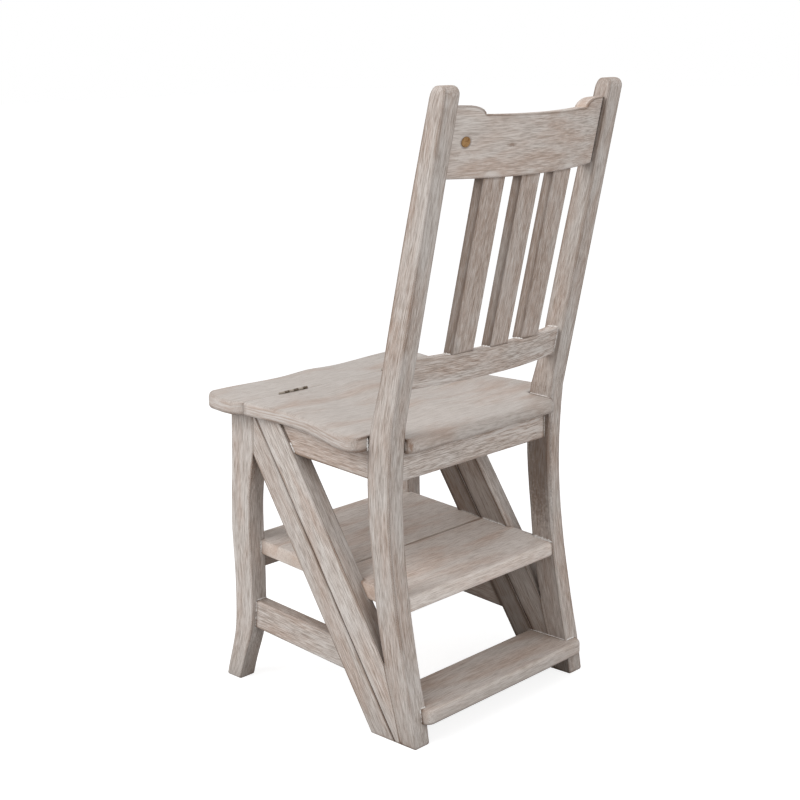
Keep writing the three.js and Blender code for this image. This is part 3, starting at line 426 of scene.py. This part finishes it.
def cut_ends(tree, colour, normal, along, shift, ends, edge_along):
    """Tone of the faces across the grain: one brown, or with edge_along limed grit along that direction."""
    direction = Vector(along).normalized()
    facing = add(tree, "VectorMath", [(0, normal), (1, direction)], operation="DOT_PRODUCT")
    end = ramp(tree, maths(tree, "ABSOLUTE", facing.outputs["Value"]), 0.72, 0.95)
    if edge_along is None:
        end_tone = END_GRAIN
    else:
        edge_space = grain_space(tree, edge_along, shift, (), (0.12, 1.0, 1.0))
        grit = stretched_noise(tree, edge_space, *EDGE_GRIT)
        end_tone = tint(tree, ramp(tree, grit, 0.34, 0.66), WARM_GRAIN, LIME_WHITE)
    return tint(tree, maths(tree, "MULTIPLY", end, ends), colour, end_tone)


def worn_arrises(tree, colour, layers, inward, wear, arris):
    """Edges: a pale or a warm band by the patches, and a thin brown line on the arris itself."""
    band = maths(tree, "MULTIPLY", ramp(tree, inward, 0.92, 0.68), wear)
    pale_band = maths(tree, "MULTIPLY", band, ramp(tree, layers["patch"], 0.42, 0.56, 0.1, 0.55))
    warm_band = maths(tree, "MULTIPLY", band, ramp(tree, layers["patch"], 0.48, 0.36, 0.05, 0.55))
    colour = tint(tree, pale_band, colour, LIME_WHITE)
    colour = tint(tree, warm_band, colour, WARM_ARRIS)
    edge = maths(tree, "MULTIPLY", ramp(tree, occlusion(tree, arris, inside=True), 0.93, 0.7), wear)
    line = maths(tree, "MULTIPLY", edge, ramp(tree, layers["cloud"], 0.64, 0.42, 0.35, 0.9))
    return tint(tree, line, colour, BROWN_LINE)


def painted_side_shade(tree, colour, normal, inward, side):
    """Painted shade on the faces that look across the chair, by a share, and more near their edges."""
    darker = ramp(tree, inward, 1.0, 0.72, side, min(1.0, SIDE_SHADE_EDGE_GAIN * side))
    turned = ramp(tree, maths(tree, "ABSOLUTE", component(tree, normal, "X")), 0.6, 0.9)
    return tint(tree, maths(tree, "MULTIPLY", turned, darker), colour, SHADE)


def corner_paste_and_shade(tree, colour, patch, inward, shade, crevice):
    """Painted shade in enclosed places, lime paste in patches along corners, and dark painted shade in tight
    crevices.
    """
    # Painted shade where the longer rays meet other parts, as under the seat
    enclosed = ramp(tree, occlusion(tree, ENCLOSED_RAYS), 0.72, 0.22, 0.0, shade)
    colour = tint(tree, enclosed, colour, SHADE)
    near = occlusion(tree, CORNER_RAYS)
    corner = maths(tree, "MULTIPLY", ramp(tree, near, 0.8, 0.6), ramp(tree, inward, 0.86, 0.97))
    laid = maths(tree, "MULTIPLY", corner, ramp(tree, patch, 0.4, 0.55, 0.05, 0.5))
    colour = tint(tree, laid, colour, PASTE_WHITE)
    # Dark painted shade in tight crevices and the gaps between parts
    return tint(tree, ramp(tree, near, 0.42, 0.2, 0.0, crevice), colour, CREVICE)


def limed_wood(name, along, shift, curves=(), squeeze=(1.0, 1.0, 1.0), pale=0.5, contrast=1.0, brush=0.3,
               wear=1.0, shade=0.6, rough=0.62, ends=0.4, bump=0.2, lift=1.0, edge_along=None, side=0.0,
               crevice=0.9, arris=0.0042, spots=()):
    """Limed wood with its grain along a direction, and a figure of its own by the shift.

    Clouds, streaks and lime brushed on follow pale, contrast and brush. The faces across the grain follow
    ends and edge_along, and the edges' share and width follow wear and arris. Painted shade follows side, shade
    and crevice. lift is the brightness as a whole, which on the middle tread is painted light under the seat.
    """
    made, tree, shader = new_material(name)
    space = grain_space(tree, along, shift, curves, squeeze)
    space = wandering(tree, space, WANDER_TURNS, WANDER_REACH)
    layers = {layer: stretched_noise(tree, space, *look) for layer, look in WOOD_LAYERS.items()}
    normal = add(tree, "TexCoord").outputs["Normal"]
    inward = occlusion(tree, BAND_RAYS, inside=True)

    colour = grain_tone(tree, layers, pale, contrast, brush)
    colour = cut_ends(tree, colour, normal, along, shift, ends, edge_along)
    if spots:
        colour = spotted(tree, colour, spots)
    if edge_along is not None:
        wear = maths(tree, "MULTIPLY", away_from_split(tree, normal), wear)
    colour = worn_arrises(tree, colour, layers, inward, wear, arris)
    if side > 0.0:
        colour = painted_side_shade(tree, colour, normal, inward, side)
    colour = corner_paste_and_shade(tree, colour, layers["patch"], inward, shade, crevice)
    # lift scales the brightness; on the middle tread it is painted light under the seat
    colour = tint(tree, 1.0, colour, (lift, lift, lift, 1.0), "MULTIPLY")

    plug_in(tree, shader.inputs["Base Color"], colour)
    dull = ramp(tree, layers["streak"], 0.35, 0.65, rough + 0.06, rough - 0.06)
    plug_in(tree, shader.inputs["Roughness"], dull)
    from_pores = maths(tree, "MULTIPLY", layers["pores"], PORES_IN_RELIEF)
    from_fine = maths(tree, "MULTIPLY", layers["fine"], FINE_IN_RELIEF)
    roughen(tree, shader, maths(tree, "ADD", from_pores, from_fine), bump, WOOD_RELIEF)
    shader.inputs["Specular IOR Level"].default_value = WOOD_SPECULAR
    return made


def filler_paste(name, tones):
    """Brushed filler: chalky, lumpy, its tone clouded between two."""
    made, tree, shader = new_material(name)
    lumps = even_noise(tree, object_place(tree), 420.0, 3.0)
    plug_in(tree, shader.inputs["Base Color"], tint(tree, ramp(tree, lumps, 0.34, 0.56), *tones))
    plug_in(tree, shader.inputs["Roughness"], ramp(tree, lumps, 0.3, 0.7, 0.85, 0.72))
    roughen(tree, shader, lumps, 0.4, 0.0006)
    return made


def dowel_wood():
    """Bare dowel: straight fine fibres on light brown, darker in the pores."""
    made, tree, shader = new_material("dowel_wood")
    space = grain_space(tree, ACROSS, (0.3, 0.1, 0.2))
    fibre = stretched_noise(tree, space, *DOWEL_FIBRE)
    plug_in(tree, shader.inputs["Base Color"], tint(tree, ramp(tree, fibre, 0.35, 0.65), *DOWEL_TONES))
    plug_in(tree, shader.inputs["Roughness"], ramp(tree, fibre, 0.3, 0.7, 0.75, 0.6))
    return made


def plug_wood():
    """The plug's bare face: brown end grain in fine specks inside a darker glued rim."""
    made, tree, shader = new_material("plug_wood")
    place = object_place(tree)
    speck = even_noise(tree, place, 620.0, 3.0)
    cloud = even_noise(tree, place, 150.0, 2.0)
    colour = tint(tree, ramp(tree, speck, 0.35, 0.62), *PLUG_TONES)
    colour = tint(tree, ramp(tree, cloud, 0.4, 0.65, 0.0, 0.5), colour, PLUG_LIGHT)
    inward = occlusion(tree, 0.0022, inside=True, samples=6)
    colour = tint(tree, ramp(tree, inward, 0.88, 0.5, 0.0, 0.45), colour, PLUG_RIM)
    plug_in(tree, shader.inputs["Base Color"], colour)
    plug_in(tree, shader.inputs["Roughness"], ramp(tree, speck, 0.3, 0.7, 0.75, 0.6))
    roughen(tree, shader, speck, 0.3, 0.0004)
    return made


def old_brass(name, tones, metal):
    """Old brass: cloudy between two tones, dark in the corners."""
    made, tree, shader = new_material(name)
    place = object_place(tree)
    cloud = even_noise(tree, place, 240.0, 4.0)
    grit = even_noise(tree, place, 1500.0, 2.0)
    colour = tint(tree, ramp(tree, cloud, 0.35, 0.65), *tones)
    near = occlusion(tree, 0.003, samples=6)
    colour = tint(tree, ramp(tree, near, 0.7, 0.25, 0.0, 0.85), colour, CREVICE)
    plug_in(tree, shader.inputs["Base Color"], colour)
    plug_in(tree, shader.inputs["Roughness"], ramp(tree, cloud, 0.3, 0.7, 0.62, 0.44))
    shader.inputs["Metallic"].default_value = metal
    roughen(tree, shader, grit, 0.2, 0.0002)
    return made


def soft_shading_nodes():
    """A node group that joins doubled points and shades faces smooth but for the edges past an angle."""
    group = bpy.data.node_groups.new("soft_shading", "GeometryNodeTree")
    group.interface.new_socket("Geometry", in_out="INPUT", socket_type="NodeSocketGeometry")
    group.interface.new_socket("Geometry", in_out="OUTPUT", socket_type="NodeSocketGeometry")
    kinds = {
        "input": "NodeGroupInput",
        "output": "NodeGroupOutput",
        "bare": "GeometryNodeRemoveAttribute",
        "merge": "GeometryNodeMergeByDistance",
        "faces": "GeometryNodeSetShadeSmooth",
        "edges": "GeometryNodeSetShadeSmooth",
        "angle": "GeometryNodeInputMeshEdgeAngle",
        "under": "FunctionNodeCompare",
    }
    made = {key: group.nodes.new(kind) for key, kind in kinds.items()}
    made["bare"].inputs["Name"].default_value = "custom_normal"
    made["merge"].inputs["Distance"].default_value = DOUBLED_POINTS
    made["faces"].domain = "FACE"
    made["edges"].domain = "EDGE"
    made["under"].operation = "LESS_THAN"
    made["under"].inputs["B"].default_value = SMOOTH_UNDER
    link = group.links.new
    link(made["input"].outputs[0], made["bare"].inputs["Geometry"])
    link(made["bare"].outputs[0], made["merge"].inputs["Geometry"])
    link(made["merge"].outputs[0], made["faces"].inputs["Geometry"])
    link(made["faces"].outputs[0], made["edges"].inputs["Geometry"])
    link(made["angle"].outputs[0], made["under"].inputs["A"])
    link(made["under"].outputs[0], made["edges"].inputs["Shade Smooth"])
    link(made["edges"].outputs[0], made["output"].inputs[0])
    return group


def finish_node(name, material, smoothing):
    """Gives a CAD node its material and smooth shading."""
    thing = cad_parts[name]
    thing.data.materials.clear()
    thing.data.materials.append(material)
    soften = thing.modifiers.new("soft_shading", "NODES")
    soften.node_group = smoothing
    weigh = thing.modifiers.new("face_weights", "WEIGHTED_NORMAL")
    weigh.keep_sharp = True
    weigh.mode = "FACE_AREA"


def dress_wood(smoothing):
    """Every board gets its own cut of limed wood, its grain along the board."""
    seat = dict(squeeze=(1.0, 1.0, 0.25), rough=0.5, bump=0.1, contrast=0.42, brush=0.1, ends=0.8, pale=1.2,
                lift=0.96, arris=0.007, edge_along=FRONT_TO_REAR)
    tread = dict(contrast=0.6, brush=0.2, rough=0.58, ends=0.3, crevice=0.25)
    # The middle tread is lifted brighter with no enclosed shade: painted light where light reaches in under the
    # seat
    middle = dict(pale=0.95, shade=0.0, lift=1.38, wear=0.7, **tread)
    crest = dict(curves=(BACK_LEAN, CREST_BOW), pale=0.85, contrast=0.75, brush=0.2, lift=1.17, crevice=0.2,
                 wear=0.9)
    rail = dict(curves=(BACK_LEAN, RAIL_BOW), pale=0.0, contrast=1.1, brush=0.6, crevice=0.1, lift=1.1,
                wear=0.25)
    slat = dict(pale=-0.6, side=0.36, crevice=0.1, wear=0.4)
    post = dict(curves=(POST_CURVE,), pale=0.5, arris=0.005, wear=0.85)
    leg = dict(curves=(LEG_CURVE,), pale=0.85, lift=1.06)
    base = dict(pale=0.65, lift=1.05)
    upper = dict(pale=0.85, lift=1.11)
    stretcher = dict(pale=0.7, lift=1.08)
    apron = dict(pale=-0.4, contrast=0.85, brush=0.25, lift=1.09)
    # side lays painted shade on the faces of the far side's pieces and of the slats that look across the chair
    boards = {
        "front_leg_left": (UPRIGHT, leg),
        "front_leg_right": (UPRIGHT, leg),
        "side_apron_left": (FRONT_TO_REAR, apron),
        "side_apron_right": (FRONT_TO_REAR, apron),
        "back_post_left": (UPRIGHT, dict(spots=POST_SPOTS, **post)),
        "back_post_right": (UPRIGHT, dict(side=0.12, spots=FAR_POST_SHADE_SPOTS, **post)),
        "base_diagonal_left": (DIAGONAL_LINE, base),
        "base_diagonal_right": (DIAGONAL_LINE, dict(side=0.62, **base)),
        "upper_diagonal_left": (DIAGONAL_LINE, upper),
        "upper_diagonal_right": (DIAGONAL_LINE, dict(side=0.36, **upper)),
        "side_stretcher_left": (FRONT_TO_REAR, stretcher),
        "side_stretcher_right": (FRONT_TO_REAR, dict(side=0.4, **stretcher)),
        "front_seat_strip": (ACROSS, seat),
        "seat_panel": (ACROSS, dict(spots=SEAT_SPOTS, **seat)),
        "front_apron": (ACROSS, dict(pale=0.3)),
        "rear_apron": (ACROSS, dict(pale=0.1, contrast=1.1, brush=0.7, lift=1.12)),
        "front_tread_rail": (ACROSS, dict(pale=0.3)),
        "middle_tread_front": (ACROSS, middle),
        "middle_tread_rear": (ACROSS, dict(spots=TREAD_SPOTS, **middle)),
        "bottom_tread": (ACROSS, dict(pale=0.75, lift=1.1, **tread)),
        "crest_rail": (ACROSS, dict(spots=CREST_SPOTS, **crest)),
        "lower_back_rail": (ACROSS, rail),
        "back_slat_right": (SLAT_LINE, slat),
        "back_slat_centre": (SLAT_LINE, slat),
        "back_slat_left": (SLAT_LINE, slat),
    }
    for index, (name, (along, looks)) in enumerate(boards.items()):
        shift = (0.37 * index, 0.53 * index % 3.0, 0.71 * index % 2.0)
        finish_node(name, limed_wood("limed_" + name, along, shift, **looks), smoothing)


def dress_rest(smoothing):
    """Dowels, plug and hinges."""
    bare = dowel_wood()
    front_leaf_brass = old_brass("dark_brass", DARK_BRASS_TONES, 0.5)
    limed = old_brass("limed_brass", LIMED_BRASS_TONES, 0.1)
    plug = plug_wood()
    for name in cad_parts:
        if "dowel" in name:
            finish_node(name, bare, smoothing)
        elif name.startswith(("hinge_rear_leaf", "hinge_pin")):
            finish_node(name, limed, smoothing)
        # The front leaf's dark knuckles are painted shade for the gaps between the limed knuckles
        elif name.startswith("hinge"):
            finish_node(name, front_leaf_brass, smoothing)
        elif name == "crest_rail_plug":
            finish_node(name, plug, smoothing)


def at(x, back, level):
    """A point from its place across, behind the seat's front edge and above the floor, in millimetres."""
    return np.array((x * MM, SEAT_FRONT + back * MM, level * MM))


def swept_strip(path, offsets):
    """A closed strip with flat ends: ring i is the triangle path[i] + offsets[i, 0..2]."""
    count = len(path)
    points = (path[:, None, :] + offsets).reshape(-1, 3)
    ring = 3 * np.arange(count - 1)[:, None]
    corner = np.arange(3)[None, :]
    after = (corner + 1) % 3
    sides = np.stack((ring + corner, ring + after, ring + 3 + after, ring + 3 + corner), axis=2)
    sides = sides.reshape(-1, 4)
    last = 3 * count - 3
    ends = np.array(((0, 2, 1), (last, last + 1, last + 2)))
    faces = np.concatenate((sides[:, (0, 1, 2)], sides[:, (0, 2, 3)], ends))
    first, second, third = (points[faces[:, side]] for side in range(3))
    volume = np.einsum("ij,ij->i", first, np.cross(second, third)).sum()
    return points, faces if volume > 0.0 else faces[:, ::-1]


def bead(start, end, first, second, width, phase):
    """Filler in a corner: from the corner's line it reaches along both faces by a width that waves.

    The reach along the first face, at share s of the line, is width * (0.7 + 0.2 sin(23 s + phase)
    + 0.15 sin(57 s + 2 phase)). The second face has waves of its own, and both run out at the ends.
    """
    share = np.linspace(0.0, 1.0, BEAD_STEPS)[:, None]
    path = start + (end - start) * share
    runout = 1.0 - 0.75 * np.abs(2.0 * share - 1.0) ** 6
    wave = 0.7 + 0.2 * np.sin(23.0 * share + phase) + 0.15 * np.sin(57.0 * share + 2.0 * phase)
    other = 0.7 + 0.2 * np.sin(19.0 * share + 3.0 * phase) + 0.15 * np.sin(41.0 * share + phase)
    first, second = (np.array(side) / np.linalg.norm(side) for side in (first, second))
    sunk = np.broadcast_to(-BEAD_SUNK * MM * (first + second), path.shape)
    reach = width * MM * runout
    return swept_strip(path, np.stack((sunk, first * reach * wave, second * reach * other), axis=1))


def skin(levels, backs, x, outward, width):
    """A flat skin of filler over a flush joint in the side's plane, its edges feathered to the face."""
    level = np.linspace(levels[0], levels[-1], SKIN_STEPS)
    back = np.interp(level, levels, backs)
    path = np.stack((np.full(SKIN_STEPS, x * MM), SEAT_FRONT + back * MM, level * MM), axis=1)
    share = np.linspace(0.0, 1.0, SKIN_STEPS)
    reach = width * MM * (1.0 - 0.8 * np.abs(2.0 * share - 1.0) ** 6)[:, None]
    proud = np.array((outward * SKIN_PROUD * MM, 0.0, 0.0))
    to_rear = np.array((0.0, 1.0, 0.0))
    inner = np.broadcast_to(-SKIN_ROOT * proud, path.shape)
    return swept_strip(path, np.stack((inner, proud + to_rear * reach, proud - to_rear * reach), axis=1))


def mesh_piece(name, parts, material, body):
    """One mesh of several closed parts with the given material, riding on a body."""
    starts = np.cumsum([0] + [len(points) for points, _ in parts[:-1]])
    points = np.concatenate([points for points, _ in parts])
    faces = np.concatenate([faces + start for (_, faces), start in zip(parts, starts)])
    mesh = bpy.data.meshes.new(name)
    mesh.from_pydata(points.tolist(), [], faces.tolist())
    mesh.materials.append(material)
    piece = bpy.data.objects.new(name, mesh)
    bpy.context.scene.collection.objects.link(piece)
    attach(piece, body)


def on_hand(rows, hand):
    """Corners given for the left, moved to a hand: 1 leaves them, -1 mirrors them."""
    way = np.array((hand, 1.0, 1.0))
    return [
        (at(*(way * start)), at(*(way * end)), way * first, way * second, width)
        for start, end, first, second, width in rows
    ]


def rear_beads():
    """Corners with filler in the rear part, as (start, end, first side, second side, width)."""
    rows = []
    for x in SLAT_PLACES:
        rear = RAIL_REAR - RAIL_BOW_DEPTH * (x / INNER_FACE) ** 2
        start, end = at(x, rear - 1.5, RAIL_TOP), at(x, rear - 17.0, RAIL_TOP)
        rows.append((start, end, (1, 0, 0), (0, 0.22, 1), 2.3))
    for hand in (-1.0, 1.0):
        rows += on_hand(REAR_CORNERS, hand)
        out = (hand, 0, 0)
        tip = hand * TREAD_HALF_WIDTH + TREAD_OFFSET
        top = at(tip, *TREAD_REAR_TOP)
        inner = at(hand * INNER_FACE, *TREAD_REAR_TOP)
        rows.append((at(tip, *TREAD_REAR_LOW), top, out, (0, 1, 0), 2.0))
        rows.append((top, inner, (0, -0.2, 1), (0, 1, 0), 2.0))
    return rows


def front_beads():
    """Corners with filler in the front part, as (start, end, first side, second side, width)."""
    return on_hand(FRONT_CORNERS, -1.0) + on_hand(FRONT_CORNERS, 1.0)


def fill_joints():
    """Filler in the corners, and skins over the flush joints of diagonal with post and diagonal with leg."""
    paste = filler_paste("joint_paste", PASTE_TONES)
    wood = filler_paste("joint_skin", SKIN_TONES)
    for name, rows in (("front", front_beads()), ("rear", rear_beads())):
        parts = [bead(*row, 1.7 * index) for index, row in enumerate(rows)]
        mesh_piece("joint_filler_" + name, parts, paste, name + "_part")
    ways = ((OUTER_FACE, 1.0), (INNER_FACE, -1.0))
    faces = [(hand * face, hand * way) for hand in (-1.0, 1.0) for face, way in ways]
    rear = [skin(*POST_JOINT, *face, POST_SKIN_WIDTH) for face in faces]
    mesh_piece("joint_skin_rear", rear, wood, "rear_part")
    front = [skin(*LEG_JOINT, *face, LEG_SKIN_WIDTH) for face in faces]
    mesh_piece("joint_skin_front", front, wood, "front_part")


def floor_plane():
    """A wide pale floor, nearly white to the camera."""
    mesh = bpy.data.meshes.new("floor")
    corners = [(FLOOR_REACH * x, FLOOR_REACH * y, 0.0) for x, y in ((-1, -1), (1, -1), (1, 1), (-1, 1))]
    mesh.from_pydata(corners, [], [(0, 1, 2, 3)])
    floor = bpy.data.objects.new("floor", mesh)
    bpy.context.scene.collection.objects.link(floor)
    floor_paint, tree, shader = new_material("floor_paint")
    shader.inputs["Base Color"].default_value = FLOOR_GREY
    shader.inputs["Roughness"].default_value = 0.9
    shader.inputs["Emission Color"].default_value = WHITE
    seen = add(tree, "LightPath").outputs["Is Camera Ray"]
    plug_in(tree, shader.inputs["Emission Strength"], maths(tree, "MULTIPLY", seen, FLOOR_GLOW))
    floor.data.materials.append(floor_paint)


def white_surroundings():
    """A world that is white to the camera and in mirrors, and a soft light elsewhere."""
    world = bpy.data.worlds.new("studio")
    bpy.context.scene.world = world
    world.use_nodes = True
    tree = world.node_tree
    tree.nodes.clear()
    output = tree.nodes.new("ShaderNodeOutputWorld")
    path = add(tree, "LightPath")
    direct = maths(tree, "MAXIMUM", path.outputs["Is Camera Ray"], path.outputs["Is Glossy Ray"])
    strength = ramp(tree, direct, 0.0, 1.0, WORLD_LIGHT, 1.0)
    background = add(tree, "Background", [("Color", WHITE), ("Strength", strength)])
    tree.links.new(background.outputs[0], output.inputs["Surface"])


def area_light(name, place, aim, width, power):
    """A square soft light at a place, turned towards its aim."""
    data = bpy.data.lights.new(name, "AREA")
    data.shape = "SQUARE"
    data.size = width
    data.energy = power
    lamp = bpy.data.objects.new(name, data)
    lamp.location = place
    lamp.rotation_euler = (Vector(aim) - Vector(place)).to_track_quat("-Z", "Y").to_euler()
    bpy.context.scene.collection.objects.link(lamp)


def studio():
    """Floor, white surroundings, a broad key from the sitter's left and soft fills."""
    floor_plane()
    white_surroundings()
    for light in LIGHTS:
        area_light(*light)


def photo_camera():
    """The camera at the photograph's place: right, up and back axes as the columns of its matrix."""
    data = bpy.data.cameras.new("photo_camera")
    data.sensor_width = SENSOR_WIDTH
    data.lens = FOCAL_PIXELS / PICTURE_PIXELS * SENSOR_WIDTH
    data.shift_x = (PICTURE_PIXELS / 2.0 - CENTRE_PIXELS[0]) / PICTURE_PIXELS
    data.shift_y = -(PICTURE_PIXELS / 2.0 - CENTRE_PIXELS[1]) / PICTURE_PIXELS
    camera = bpy.data.objects.new("photo_camera", data)
    columns = [(*CAMERA_RIGHT, 0.0), (*CAMERA_UP, 0.0), (*CAMERA_BACK, 0.0), (*CAMERA_PLACE, 1.0)]
    camera.matrix_world = Matrix(columns).transposed()
    bpy.context.scene.collection.objects.link(camera)
    bpy.context.scene.camera = camera


smooth_group = soft_shading_nodes()
dress_wood(smooth_group)
dress_rest(smooth_group)
fill_joints()
studio()
photo_camera()
bpy.context.scene.view_settings.view_transform = "Standard"
